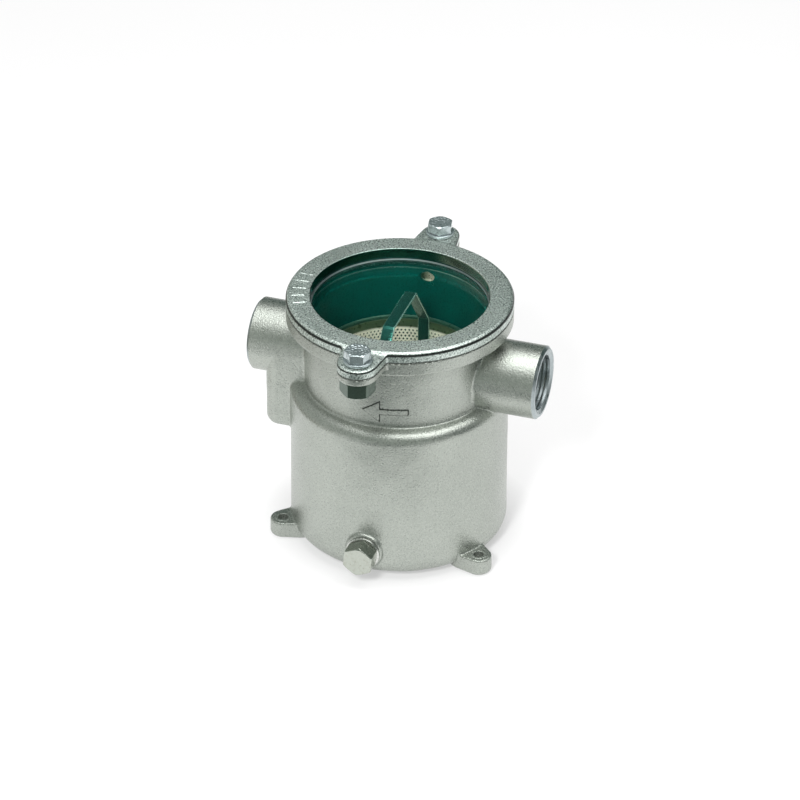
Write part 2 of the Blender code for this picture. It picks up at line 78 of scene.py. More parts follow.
# Casting, outside
BODY_BOTTOM_Z = 2.2
BARREL_R_LOW = 61.0
BARREL_R_HIGH = 60.3
BARREL_CORNER_R = 8.5
SHOULDER_Z = 94.7
SHOULDER_R = 7.0
SHOULDER_FILLET_R = 1.2
NECK_R = 52.3
NECK_FILLET_R = 3.5
FLANGE_BOTTOM_Z = 134.2
EAR_BOTTOM_Z = 138.3
EAR_END_R = 11.0
EAR_ROOT_R = 58.0
EAR_ROOT_HALF = 13.0
PORT_Z = 107.8
PORT_R = 20.4
PORT_EDGE = 1.5
DUCT_OUTER_X = 73.5
DUCT_BOTTOM_Z = 60.0
DUCT_CORNER_R = 8.0
FOOT_ANGLES = (-30.0, 90.0, 210.0)
FOOT_ROOT_R = 56.0
FOOT_ROOT_HALF = 9.8
FOOT_END_R = 7.2
FOOT_CIRCLE_R = 66.5
FOOT_HEIGHT = 10.2
BOSS_R = 10.6
BOSS_FACE = 62.4
FILLET_R = 1.2
SLEEVE_X = 66.0
SLEEVE_WALL_R = 17.8

# Casting, inside
CHAMBER_R = 56.2
CHAMBER_FLOOR_Z = 6.0
CHAMBER_TOP_Z = 89.8
LEDGE_R = 46.8
LEDGE_Z = 94.0
BORE_R = 48.6
MACHINED_BORE_R = 49.2
MACHINED_BORE_Z = 129.0
SEAT_R = 53.0
SEAT_Z = 134.6
DUCT_HOLLOW_X = 53.5
DUCT_WALL = 4.5
PORT_BORE_R = 15.15
PORT_MOUTH_R = 17.3
EAR_HOLE_R = 4.4
FOOT_HOLE_R = 2.75
DRAIN_HOLE_R = 5.9
POCKET_R = 3.9
POCKET_Z = 128.7
POCKET_END_Y = 50.6

# Lid
OPENING_R = 48.8
EAR_TOP_Z = 147.4


# ---------------------------------------------------------------- fields


def inter(a, b, k=0.0):
    """Intersection of two fields with a round edge of radius k."""
    return np.minimum(-k, np.maximum(a, b)) + np.hypot(np.maximum(a + k, 0), np.maximum(b + k, 0))


def union(a, b, k=0.0):
    """Union of two fields with a fillet of radius k."""
    return -inter(-a, -b, k)


def lug(x, y, angle, root_r, root_half, centre_r, end_r):
    """A lug seen from above: a capsule from its wide root to its round end, pointing out at this angle."""
    c, s = cos(radians(angle)), sin(radians(angle))
    across = np.abs(-x * s + y * c)
    along = x * c + y * s - root_r
    length = centre_r - root_r
    b = (root_half - end_r) / length
    a = (1 - b * b) ** 0.5
    k = a * along - b * across
    root = np.hypot(across, along) - root_half
    end = np.hypot(across, along - length) - end_r
    side = across * a + along * b - root_half
    return np.where(k < 0, root, np.where(k > a * length, end, side))


def ear_outline(x, y):
    """The flange's disc with both ears, blended in, seen from above."""
    r = np.hypot(x, y)
    ears = lug(x, np.abs(y), 90.0, EAR_ROOT_R, EAR_ROOT_HALF, BOLT_Y, EAR_END_R)
    return union(r - FLANGE_R, ears, FILLET_R)


def waves(x, y, z):
    """A slow unevenness of cast surfaces, about a tenth of a millimetre."""
    a = np.sin(x * 0.31 + 1.3 * np.sin(z * 0.12)) * np.sin(y * 0.27 + 0.7 * np.sin(x * 0.14))
    b = np.sin(z * 0.35 + 1.1 * np.sin(y * 0.17)) * np.sin(x * 0.19 + y * 0.23)
    return 0.05 * (a + b)


def casting_outside(x, y, z):
    r = np.hypot(x, y)
    height = np.clip((z - BODY_BOTTOM_Z) / (SHOULDER_Z - BODY_BOTTOM_Z), 0, 1)
    wall = r - (BARREL_R_LOW + (BARREL_R_HIGH - BARREL_R_LOW) * height)
    solid = inter(inter(wall, BODY_BOTTOM_Z - z, BARREL_CORNER_R), z - SHOULDER_Z, SHOULDER_R)
    neck = np.maximum(r - NECK_R, np.abs(z - PORT_Z) - 30)
    solid = union(solid, neck, SHOULDER_FILLET_R)

    flange = inter(r - FLANGE_R, FLANGE_BOTTOM_Z - z, 1.0)
    solid = union(solid, np.maximum(flange, z - FLANGE_TOP_Z - 1), NECK_FILLET_R)
    ears = inter(ear_outline(x, y), EAR_BOTTOM_Z - z, 1.0)
    solid = np.minimum(solid, np.maximum(ears, z - FLANGE_TOP_Z - 1))

    duct = inter(inter(np.abs(y) - PORT_R, -x - DUCT_OUTER_X, DUCT_CORNER_R), DUCT_BOTTOM_Z - z, 6.5)
    duct = np.maximum(np.maximum(duct, z - PORT_Z), x + 40)
    tube = np.maximum(np.hypot(y, z - PORT_Z) - PORT_R, np.abs(x) - SLEEVE_X - 2)
    solid = union(solid, np.minimum(duct, tube), FILLET_R)

    boss = np.maximum(inter(np.hypot(x, z - DRAIN_Z) - BOSS_R, -y - BOSS_FACE, 0.8), y + 40)
    solid = union(solid, boss, 1.5)
    for angle in FOOT_ANGLES:
        foot = lug(x, y, angle, FOOT_ROOT_R, FOOT_ROOT_HALF, FOOT_CIRCLE_R, FOOT_END_R)
        foot = inter(inter(foot, -z, 2.4), z - FOOT_HEIGHT, 0.8)
        solid = union(solid, foot, 0.9)
    return solid


def casting_inside(x, y, z):
    """Everything that is hollow in the casting, as one field."""
    r = np.hypot(x, y)
    hollow = inter(inter(r - CHAMBER_R, CHAMBER_FLOOR_Z - z, 5.0), z - CHAMBER_TOP_Z, 5.0)
    hollow = np.minimum(hollow, np.maximum(r - LEDGE_R, np.abs(z - CHAMBER_TOP_Z) - 6))
    hollow = np.minimum(hollow, np.maximum(r - BORE_R, LEDGE_Z - z))
    hollow = np.minimum(hollow, np.maximum(r - MACHINED_BORE_R, MACHINED_BORE_Z - z))
    hollow = np.minimum(hollow, np.maximum(r - SEAT_R, SEAT_Z - z))

    half = PORT_R - DUCT_WALL
    duct = inter(np.abs(y) - half, -x - DUCT_OUTER_X + DUCT_WALL, 5.5)
    duct = inter(duct, DUCT_BOTTOM_Z + DUCT_WALL - z, 3.0)
    duct = np.maximum(np.maximum(duct, z - PORT_Z), x + DUCT_HOLLOW_X)
    hollow = np.minimum(hollow, duct)

    radius = np.hypot(y, z - PORT_Z)
    start = np.where(x > 0, BORE_R - 3, DUCT_HOLLOW_X)
    bore = np.maximum(radius - PORT_BORE_R, start - np.abs(x))
    bore = np.minimum(bore, np.maximum(radius - SLEEVE_WALL_R, SLEEVE_X - np.abs(x)))
    hollow = np.minimum(hollow, bore)

    hole = np.hypot(x, np.abs(y) - BOLT_Y) - EAR_HOLE_R
    hollow = np.minimum(hollow, np.maximum(hole, EAR_BOTTOM_Z - 4 - z))
    for angle in FOOT_ANGLES:
        cx, cy = FOOT_CIRCLE_R * cos(radians(angle)), FOOT_CIRCLE_R * sin(radians(angle))
        hole = np.hypot(x - cx, y - cy) - FOOT_HOLE_R - 0.8
        hollow = np.minimum(hollow, np.maximum(hole, z - FOOT_HEIGHT - 3))
    drain = np.maximum(np.hypot(x, z - DRAIN_Z) - DRAIN_HOLE_R, y + CHAMBER_R - 3)
    hollow = np.minimum(hollow, drain)
    pocket = np.maximum(np.hypot(x, 1.35 * (z - POCKET_Z)) - POCKET_R, np.abs(y - 46) - POCKET_END_Y + 46)
    return np.minimum(hollow, pocket)


def casting(x, y, z):
    outside = casting_outside(x, y, z) + waves(x, y, z)
    # The machined faces are flat, so they are cut after the unevenness.
    outside = inter(outside, z - FLANGE_TOP_Z, 0.25)
    outside = inter(outside, -z, 0.5)
    return inter(outside, -casting_inside(x, y, z), 0.4)


MARK_X = 8.5
MARK_Z = 105.0


def flow_arrow(x, y, z):
    """A plain raised arrow on the neck that points from the inlet to the outlet."""
    across, up = x - MARK_X, z - MARK_Z
    shaft = np.maximum(np.abs(up) - 1.4, np.abs(across - 4) - 8)
    head = np.maximum((np.abs(up) * 1.5 - (across + 12)) / 1.8, across + 3)
    outline = np.minimum(shaft, head)
    r = np.hypot(x, y)
    raised = np.minimum(inter(outline, r - NECK_R - 0.7, 0.25), np.maximum(outline - 0.55, r - NECK_R - 0.16))
    return np.maximum(raised, NECK_R - 1.0 - r)


def lid(x, y, z):
    r = np.hypot(x, y)
    fall = np.clip((r - FLANGE_R + 2.4) / 3.4, 0, 1)
    top = RING_HIGH.z - (RING_HIGH.z - EAR_TOP_Z) * fall * fall * (3 - 2 * fall)
    solid = inter(ear_outline(x, y) + 0.7 * waves(x, y, z), z - top, 1.4)
    for angle in TICK_ANGLES:
        c, s = cos(radians(angle)), sin(radians(angle))
        across = np.abs(-x * s + y * c)
        along = np.abs(x * c + y * s - TICK_R)
        tick = np.maximum(across - 0.35, along - 3.6)
        solid = union(solid, inter(tick, z - RING_HIGH.z - 0.3, 0.2), 0.3)
    solid = inter(solid, RING_LOW.z - z, 0.2)
    solid = inter(solid, OPENING_R + 0.2 - r, 0.6)
    hole = np.hypot(x, np.abs(y) - BOLT_Y) - EAR_HOLE_R
    return inter(solid, -hole, 0.4)


TICK_ANGLES = (176.0, 184.0, 192.0, 200.0, 208.0)
TICK_R = 55.6


def hexagon(u, v, across_flats, corner_angle):
    """Distance outside a hexagon in its plane, one corner at this angle."""
    result = None
    for i in range(3):
        a = radians(corner_angle + 30 + 60 * i)
        side = np.abs(u * cos(a) + v * sin(a)) - across_flats / 2
        result = side if result is None else inter(result, side, 0.25)
    return result


def thread(u, v, w, radius, pitch, depth):
    """A rod along w with a V thread."""
    turn = np.arctan2(v, u) / (2 * pi)
    wave = np.abs(((w / pitch - turn) % 1.0) - 0.5) * 2
    return (np.hypot(u, v) - radius + depth * wave) * 0.8


def lid_bolt(x, y, z, corner_angle, head_low, head_high, end):
    r = np.hypot(x, y)
    body = hexagon(x, y, 13.0, corner_angle)
    body = inter(body, (r - 6.2 + (z - head_high) * 1.6) * 0.53, 0.15)
    dish = head_high - 0.35 + 0.3 * np.clip(r / 5.6, 0, 1) ** 2
    forged = np.sin(1.7 * x + 1.2 * np.sin(1.3 * y)) * np.sin(2.3 * y + 0.9 * np.sin(1.1 * x) + 0.6)
    dish = dish - 0.1 + 0.11 * forged
    body = inter(body, z - dish, 0.35)
    body = inter(body, head_low - z, 0.15)
    shank = inter(thread(x, y, z, 3.9, 1.25, 0.62), end - z, 0.8)
    shank = np.maximum(shank, z - head_low - 1)
    return union(body, shank, 0.15)


def lid_nut(x, y, z, corner_angle, low, high):
    r = np.hypot(x, y)
    body = hexagon(x, y, 17.0, corner_angle)
    for sign, face in ((1, high), (-1, low)):
        body = inter(body, (r - 8.35 + sign * (z - face) * 1.8) * 0.48, 0.15)
        body = inter(body, sign * (z - face), 0.15)
    bore = np.hypot(x, y) - 4.2
    return inter(body, -bore, 0.35)


def drain_plug(x, y, z):
    """The plug along -Y: hexagon head, then the threaded shank through the boss."""
    v = z - DRAIN_Z
    r = np.hypot(x, v)
    face = -PLUG_LOW.y
    head_low = PLUG_LOW.y + 9.0
    body = hexagon(x, v, 16.0, PLUG_CORNER)
    body = inter(body, (r - 8.1 + (-y - face) * 1.8) * 0.48, 0.2)
    body = inter(body, -y - face, 0.3)
    body = inter(body, y - head_low, 0.2)
    shank = inter(thread(x, v, y, 5.5, 1.337, 0.6), y - PLUG_HIGH.y, 0.8)
    shank = np.maximum(shank, head_low - 1 - y)
    return union(body, shank, 0.15)


PLUG_CORNER = 24.0


# ---------------------------------------------------------------- meshes


def gradient(field, points, reach=0.02):
    """The field's slope at each point."""
    slope = np.empty_like(points)
    for axis in range(3):
        ahead, behind = points.copy(), points.copy()
        ahead[:, axis] += reach
        behind[:, axis] -= reach
        slope[:, axis] = (field(*ahead.T) - field(*behind.T)) / (2 * reach)
    return slope


def settle(field, points, most):
    """Moves points onto the field's zero surface."""
    slope = gradient(field, points)
    size = np.maximum((slope * slope).sum(1), 0.05)
    step = slope * (field(*points.T) / size)[:, None]
    length = np.linalg.norm(step, axis=1, keepdims=True)
    return points - step * np.minimum(1, most / np.maximum(length, 1e-9))


def surface_net(field, low, high, step):
    """Points and quads of the zero surface of field(x, y, z), which is negative inside."""
    lines = [np.arange(a - 2 * step, b + 3 * step, step) for a, b in zip(low, high)]
    grid = np.meshgrid(*lines, indexing="ij", sparse=True)
    values = np.broadcast_to(field(*grid), [len(line) for line in lines]).astype(np.float32)
    inside = values < 0
    shape = np.array(inside.shape) - 1
    corners = np.array([(i, j, k) for i in (0, 1) for j in (0, 1) for k in (0, 1)])
    count = np.zeros(shape, np.int8)
    for i, j, k in corners:
        count += inside[i : i + shape[0], j : j + shape[1], k : k + shape[2]]
    cells = np.argwhere((count > 0) & (count < 8))
    index = np.full(shape, -1, np.int32)
    index[tuple(cells.T)] = np.arange(len(cells))

    total = np.zeros((len(cells), 3))
    crossings = np.zeros(len(cells))
    unit = np.eye(3, dtype=int)
    for axis in range(3):
        for corner in corners[corners[:, axis] == 0]:
            start = cells + corner
            a = values[tuple(start.T)]
            b = values[tuple((start + unit[axis]).T)]
            crosses = (a < 0) != (b < 0)
            share = np.where(crosses, a / np.where(crosses, a - b, 1), 0)
            total += np.where(crosses[:, None], start + share[:, None] * unit[axis], 0)
            crossings += crosses
    points = (total / crossings[:, None]) * step + [line[0] for line in lines]

    quads = []
    for axis in range(3):
        u, v = unit[(axis + 1) % 3], unit[(axis + 2) % 3]
        first = np.take(inside, range(shape[axis]), axis)
        second = np.take(inside, range(1, shape[axis] + 1), axis)
        edge = np.argwhere(first != second)
        quad = np.stack([index[tuple((edge - a).T)] for a in (0 * u, u, u + v, v)], axis=1)
        outward = inside[tuple(edge.T)]
        quads.append(np.where(outward[:, None], quad, quad[:, ::-1]))
    return points, np.concatenate(quads)


def relaxed(points, quads):
    """Points moved half way to the mean of their neighbours."""
    total = np.zeros_like(points)
    count = np.zeros(len(points))
    for i in range(4):
        a, b = quads[:, i], quads[:, (i + 1) % 4]
        for p, q in ((a, b), (b, a)):
            count += np.bincount(p, minlength=len(points))
            for axis in range(3):
                total[:, axis] += np.bincount(p, points[q, axis], len(points))
    return points + 0.5 * (total / np.maximum(count, 1)[:, None] - points)


def net_of(name, field, low, high, step, material, rounds=3):
    """An object with the field's surface, its points on the surface and its normals from the field."""
    points, quads = surface_net(field, low, high, step)
    for _ in range(2):
        points = settle(field, points, step)
    for _ in range(rounds):
        points = settle(field, relaxed(points, quads), step)
    for _ in range(2):
        points = settle(field, points, step)
    normals = gradient(field, points)
    normals /= np.maximum(np.linalg.norm(normals, axis=1, keepdims=True), 1e-9)
    mesh = bpy.data.meshes.new(name)
    mesh.vertices.add(len(points))
    mesh.vertices.foreach_set("co", (points * MM).astype(np.float32).ravel())
    mesh.loops.add(quads.size)
    mesh.loops.foreach_set("vertex_index", quads.astype(np.int32).ravel())
    mesh.polygons.add(len(quads))
    mesh.polygons.foreach_set("loop_start", np.arange(0, quads.size, 4, dtype=np.int32))
    mesh.update(calc_edges=True)
    mesh.validate()
    mesh.shade_smooth()
    mesh.normals_split_custom_set_from_vertices(normals.tolist())
    return linked(name, mesh, material)


def linked(name, mesh, material):
    obj = bpy.data.objects.new(name, mesh)
    bpy.context.scene.collection.objects.link(obj)
    mesh.materials.append(material)
    return obj


def turned(name, profile, material, sides=160, sharp=40.0):
    """A closed profile of (radius, height) in millimetres, turned round Z, run up its outer side."""
    shape = bmesh.new()
    rings = []
    for r, z in profile:
        if r < 1e-6:
            rings.append([shape.verts.new((0, 0, z * MM))] * sides)
            continue
        angles = [2 * pi * i / sides for i in range(sides)]
        rings.append([shape.verts.new((r * MM * cos(a), r * MM * sin(a), z * MM)) for a in angles])
    for lower, upper in zip(rings, rings[1:] + rings[:1]):
        for i in range(sides):
            j = (i + 1) % sides
            corners = []
            for vert in (lower[i], lower[j], upper[j], upper[i]):
                if vert not in corners:
                    corners.append(vert)
            if len(corners) > 2:
                shape.faces.new(corners)
    bmesh.ops.recalc_face_normals(shape, faces=shape.faces)
    mesh = bpy.data.meshes.new(name)
    shape.to_mesh(mesh)
    shape.free()
    mesh.shade_smooth()
    mesh.set_sharp_from_angle(angle=radians(sharp))
    return linked(name, mesh, material)


def ring_profile(inner, outer, low, high, edge):
    """A rectangle's outline with round corners, inner and outer radius, low and high height."""
    points = []
    corners = ((outer, low, -1, 1), (outer, high, -1, -1), (inner, high, 1, -1), (inner, low, 1, 1))
    for i, (r, z, dr, dz) in enumerate(corners):
        for step in range(4):
            a = radians(-90 + 90 * i + 30 * step)
            points.append((r + dr * edge + edge * cos(a), z + dz * edge + edge * sin(a)))
    return points


# ---------------------------------------------------------------- materials


def new_material(name):
    material = bpy.data.materials.new(name)
    material.use_nodes = True
    tree = material.node_tree
    return material, tree, tree.nodes["Principled BSDF"]


def node(tree, kind, **values):
    """A new node; a value goes to the input of that name, with _ for a space, or to the node's own setting."""
    made = tree.nodes.new(kind)
    for key, value in values.items():
        socket = made.inputs.get(key.replace("_", " "))
        if socket is None:
            setattr(made, key, value)
        elif isinstance(value, bpy.types.NodeSocket):
            tree.links.new(value, socket)
        else:
            socket.default_value = value
    return made


def place(tree):
    """Position in the piece's own axes, so that a pattern moves with it."""
    return node(tree, "ShaderNodeTexCoord").outputs["Object"]


def noise(tree, where, scale, detail=2.0, roughness=0.5, distortion=0.0):
    made = node(tree, "ShaderNodeTexNoise", Vector=where, Scale=scale, Detail=detail, Roughness=roughness)
    made.inputs["Distortion"].default_value = distortion
    return made.outputs["Fac"]


def ramp(tree, value, low, high, out_low, out_high):
    made = node(tree, "ShaderNodeMapRange", Value=value)
    for key, number in zip(("From Min", "From Max", "To Min", "To Max"), (low, high, out_low, out_high)):
        made.inputs[key].default_value = number
    return made.outputs["Result"]


def mix_colour(tree, factor, a, b):
    made = tree.nodes.new("ShaderNodeMix")
    made.data_type = "RGBA"
    tree.links.new(factor, made.inputs[0])
    for socket, value in ((made.inputs[6], a), (made.inputs[7], b)):
        if isinstance(value, bpy.types.NodeSocket):
            tree.links.new(value, socket)
        else:
            socket.default_value = (*value, 1.0)
    return made.outputs[2]


def math(tree, operation, a, b=0.0):
    made = tree.nodes.new("ShaderNodeMath")
    made.operation = operation
    for socket, value in zip(made.inputs, (a, b)):
        if isinstance(value, bpy.types.NodeSocket):
            tree.links.new(value, socket)
        else:
            socket.default_value = value
    return made.outputs[0]


def bump(tree, height, distance, strength=1.0, before=None):
    made = node(tree, "ShaderNodeBump", Height=height, Distance=distance, Strength=strength)
    if before is not None:
        tree.links.new(before, made.inputs["Normal"])
    return made.outputs["Normal"]


def cast_metal(name, depth, lid_ring=False, mark=False):
    """Nickel on a sand casting: bright satin with a sharp grain, slow mottling, stains, and hollows painted dark
    green as shade and reflection.
    """
    material, tree, shader = new_material(name)
    where = place(tree)
    parts = node(tree, "ShaderNodeSeparateXYZ", Vector=where).outputs
    facing = node(tree, "ShaderNodeSeparateXYZ", Vector=node(tree, "ShaderNodeNewGeometry").outputs["Normal"])
    squares = [math(tree, "MULTIPLY", axis, axis) for axis in parts[:2]]
    radius = math(tree, "SQRT", math(tree, "ADD", *squares))

    grain = noise(tree, where, 1150.0, 2.0, 0.65)
    spread = (0.36, 0.64) if lid_ring else (0.22, 0.72)
    mottle = noise(tree, where, 26.0, 3.0, 0.6)
    share = math(tree, "ADD", ramp(tree, grain, *spread, 0, 0.8), ramp(tree, mottle, 0.35, 0.65, 0, 0.2))
    dark, light = (0.295, 0.32, 0.29), (0.49, 0.52, 0.475)
    if lid_ring:
        dark, light = (0.20, 0.25, 0.225), (0.78, 0.86, 0.81)
    colour = mix_colour(tree, share, dark, light)
    stain = noise(tree, where, 210.0, 3.0, 0.6)
    colour = mix_colour(tree, ramp(tree, stain, 0.60, 0.80, 0, 0.16), colour, (0.25, 0.27, 0.22))

    steep = ramp(tree, math(tree, "ABSOLUTE", facing.outputs[2]), 0.5, 0.9, 1, 0)
    off = math(tree, "ABSOLUTE", math(tree, "SUBTRACT", parts[2], JOINT_Z * MM))
    joint_and_painted_edge = math(tree, "MULTIPLY", ramp(tree, off, 0.00045, 0.0007, 0.97, 0), steep)
    if lid_ring:
        # Painted reflection: a dark line on the lid's rounded top edge, where the edge faces between up and sideways;
        # it is merged with the real dark joint line.
        tilt = facing.outputs[2]
        edge = math(tree, "MULTIPLY", ramp(tree, tilt, 0.08, 0.16, 0, 0.93), ramp(tree, tilt, 0.58, 0.7, 1, 0))
        joint_and_painted_edge = math(tree, "MAXIMUM", joint_and_painted_edge, edge)
    colour = mix_colour(tree, joint_and_painted_edge, colour, (0.01, 0.012, 0.011))
    if mark:
        # Painted shade: the foot of the raised arrow, close to the neck, is darkened.
        painted_foot_shade = ramp(tree, radius, (NECK_R + 0.34) * MM, (NECK_R + 0.55) * MM, 0.9, 0)
        colour = mix_colour(tree, painted_foot_shade, colour, (0.03, 0.035, 0.03))
    if lid_ring:
        smooth = ramp(tree, radius, 0.0491, 0.0495, 1, 0)
        # Painted reflection: the smooth wall of the lid's opening is coloured dark green on the left and light on the
        # right.
        green = mix_colour(tree, ramp(tree, parts[0], 0.004, 0.03, 0, 1), (0.02, 0.13, 0.10), (0.66, 0.70, 0.60))
        colour = mix_colour(tree, smooth, colour, green)
    else:
        low = ramp(tree, parts[2], 0.1336, 0.134, 1, 0)
        bore = math(tree, "MULTIPLY", ramp(tree, radius, 0.0494, 0.05, 1, 0), low)
        seat = math(tree, "SUBTRACT", ramp(tree, radius, 0.0532, 0.0536, 1, 0), low)
        smooth = math(tree, "MAXIMUM", bore, seat)
        # Painted light and shade: the upper bore wall is dark on the left and lit cream on the right.
        painted_bore_light_mask = math(tree, "MULTIPLY", ramp(tree, radius, 0.0511, 0.0513, 1, 0), ramp(tree, parts[2], 0.1235, 0.124, 0, 1))
        painted_bore_light_mask = math(tree, "MULTIPLY", painted_bore_light_mask, low)
        shade = mix_colour(tree, ramp(tree, parts[0], -0.003, 0.003, 0, 1), (0.05, 0.07, 0.045), (0.75, 0.66, 0.52))
        colour = mix_colour(tree, painted_bore_light_mask, colour, shade)
        # Painted shade and reflection: the chamber, bores and seat are coloured dark green.
        painted_chamber_shade = math(tree, "MULTIPLY", ramp(tree, radius, 0.0566, 0.057, 1, 0), ramp(tree, parts[2], 0.0905, 0.0909, 1, 0))
        painted_chamber_shade = math(tree, "MULTIPLY", painted_chamber_shade, ramp(tree, parts[2], 0.005, 0.0055, 0, 1))
        smooth = math(tree, "MAXIMUM", smooth, painted_chamber_shade)
        colour = mix_colour(tree, smooth, colour, (0.001, 0.044, 0.036))
        tree.links.new(ramp(tree, smooth, 0, 1, 0.5, 0), shader.inputs["Specular IOR Level"])
        tree.links.new(ramp(tree, smooth, 0, 1, 0.85, 0.35), shader.inputs["Metallic"])
    tree.links.new(colour, shader.inputs["Base Color"])
    if lid_ring:
        tree.links.new(ramp(tree, smooth, 0, 1, 0.85, 1), shader.inputs["Metallic"])
    rough = ramp(tree, grain, 0.3, 0.7, 0.24, 0.36)
    if lid_ring:
        rough = math(tree, "MULTIPLY", rough, ramp(tree, smooth, 0, 1, 1, 0.3))
    tree.links.new(rough, shader.inputs["Roughness"])
    made = node(tree, "ShaderNodeBump", Height=grain, Distance=depth)
    if lid_ring:
        tree.links.new(ramp(tree, facing.outputs[2], 0.3, 0.9, 0.00018, depth), made.inputs["Distance"])
    else:
        tree.links.new(ramp(tree, parts[2], 0.0107, 0.0117, 0.00038, depth), made.inputs["Distance"])
    tree.links.new(ramp(tree, smooth, 0, 1, 1, 0.02), made.inputs["Strength"])
    tree.links.new(made.outputs["Normal"], shader.inputs["Normal"])
    return material


JOINT_Z = (RING_LOW.z + CAST_HIGH.z) / 2


def polished(name, colour, dark, roughness, wear, metallic=1.0, depth=0.0003):
    """Plated or turned metal with faint smears and small pits."""
    material, tree, shader = new_material(name)
    where = place(tree)
    smear = noise(tree, where, 420.0, 3.0, 0.6, 0.6)
    shade = mix_colour(tree, ramp(tree, smear, 0.5, 0.75, 0, wear), colour, dark)
    tree.links.new(shade, shader.inputs["Base Color"])
    shader.inputs["Metallic"].default_value = metallic
    tree.links.new(ramp(tree, smear, 0.3, 0.7, roughness * 0.7, roughness * 1.5), shader.inputs["Roughness"])
    tree.links.new(bump(tree, noise(tree, where, 260.0, 2.0), depth, 0.25), shader.inputs["Normal"])
    return material


def shade_above(material, height, colour):
    """A darker colour above a height: painted shade on the upper part of the sheet, under its collar."""
    tree = material.node_tree
    socket = tree.nodes["Principled BSDF"].inputs["Base Color"]
    above = node(tree, "ShaderNodeSeparateXYZ", Vector=place(tree)).outputs[2]
    high = ramp(tree, above, (height - 0.6) * MM, (height + 0.6) * MM, 0, 1)
    tree.links.new(mix_colour(tree, high, socket.links[0].from_socket, colour), socket)


def painted_edge_highlights(material, half, colour):
    """Painted highlights: a light colour along the two edges of the strap, beyond this distance from its middle."""
    tree = material.node_tree
    socket = tree.nodes["Principled BSDF"].inputs["Base Color"]
    across = math(tree, "ABSOLUTE", node(tree, "ShaderNodeSeparateXYZ", Vector=place(tree)).outputs[0])
    edge = ramp(tree, across, half * MM, (half + 0.15) * MM, 0, 1)
    tree.links.new(mix_colour(tree, edge, socket.links[0].from_socket, colour), socket)


def clear_glass(name):
    """Glass that lets lamps through to what is under it."""
    material, tree, shader = new_material(name)
    tree.nodes.remove(shader)
    bend = node(tree, "ShaderNodeBsdfGlass")
    bend.inputs["Color"].default_value = (0.95, 0.995, 0.98, 1.0)
    bend.inputs["Roughness"].default_value = 0.0
    bend.inputs["IOR"].default_value = 1.5
    lamp = node(tree, "ShaderNodeBsdfTransparent")
    lamp.inputs["Color"].default_value = (0.95, 0.995, 0.98, 1.0)
    path = node(tree, "ShaderNodeLightPath")
    join = node(tree, "ShaderNodeMixShader")
    tree.links.new(path.outputs["Is Shadow Ray"], join.inputs[0])
    tree.links.new(bend.outputs[0], join.inputs[1])
    tree.links.new(lamp.outputs[0], join.inputs[2])
    tree.links.new(join.outputs[0], tree.nodes["Material Output"].inputs["Surface"])
    return material


def rubber(name):
    material, tree, shader = new_material(name)
    where = place(tree)
    # Painted reflection: a dark green tint in the black rubber.
    shade = mix_colour(tree, noise(tree, where, 300.0, 3.0), (0.001, 0.018, 0.014), (0.002, 0.030, 0.024))
    tree.links.new(shade, shader.inputs["Base Color"])
    tree.links.new(ramp(tree, noise(tree, where, 900.0), 0.3, 0.7, 0.5, 0.75), shader.inputs["Roughness"])
    shader.inputs["Specular IOR Level"].default_value = 0.12
    tree.links.new(bump(tree, noise(tree, where, 2500.0), 0.0002, 0.4), shader.inputs["Normal"])
    return material


CAST = cast_metal("cast_nickel", 0.0002)
CAST_LID = cast_metal("cast_nickel_lid", 0.00038, lid_ring=True)
CAST_MARK = cast_metal("cast_nickel_mark", 0.0002, mark=True)
MACHINED = polished("cast_nickel_turned", (0.42, 0.47, 0.48), (0.34, 0.38, 0.39), 0.36, 0.3, 1.0, 0.00008)
BRIGHT = polished("bright_steel", (0.50, 0.57, 0.58), (0.16, 0.21, 0.21), 0.16, 0.8, 0.8, 0.0007)
# Painted shade and reflection: the bright steel nut is coloured near-black green.
NUT_PAINTED_SHADE = polished("bright_steel_nut_painted_shade", (0.085, 0.12, 0.095), (0.06, 0.085, 0.065), 0.16, 0.6, 0.75)
PLUG = polished("plated_brass", (0.48, 0.51, 0.455), (0.33, 0.33, 0.27), 0.2, 0.5)
SHEET_STEEL = polished("sheet_steel", (0.92, 0.90, 0.80), (0.6, 0.6, 0.5), 0.35, 0.4, 0.3)
SCREEN_STEEL = polished("sheet_steel_screen", (0.86, 0.78, 0.66), (0.55, 0.5, 0.4), 0.3, 0.4, 0.4)
# Painted shade on the screen above 97.5 mm.
shade_above(SCREEN_STEEL, 97.5, (0.05, 0.07, 0.035))
# Painted reflection: the rolled steel collar is coloured dark green.
COLLAR = polished("sheet_steel_rolled", (0.022, 0.065, 0.045), (0.03, 0.05, 0.025), 0.35, 0.5, 0.5)
# Painted reflection: the strap is coloured dark teal, with painted highlights along its edges.
STRAP = polished("sheet_steel_strap", (0.018, 0.09, 0.078), (0.04, 0.08, 0.06), 0.14, 0.5, 0.8)
painted_edge_highlights(STRAP, 2.95, (0.55, 0.75, 0.68))
SOFT = polished("soft_metal", (0.70, 0.71, 0.68), (0.45, 0.45, 0.42), 0.25, 0.5)
GLASS = clear_glass("green_glass")
RUBBER = rubber("black_rubber")


# ---------------------------------------------------------------- perforated sheet


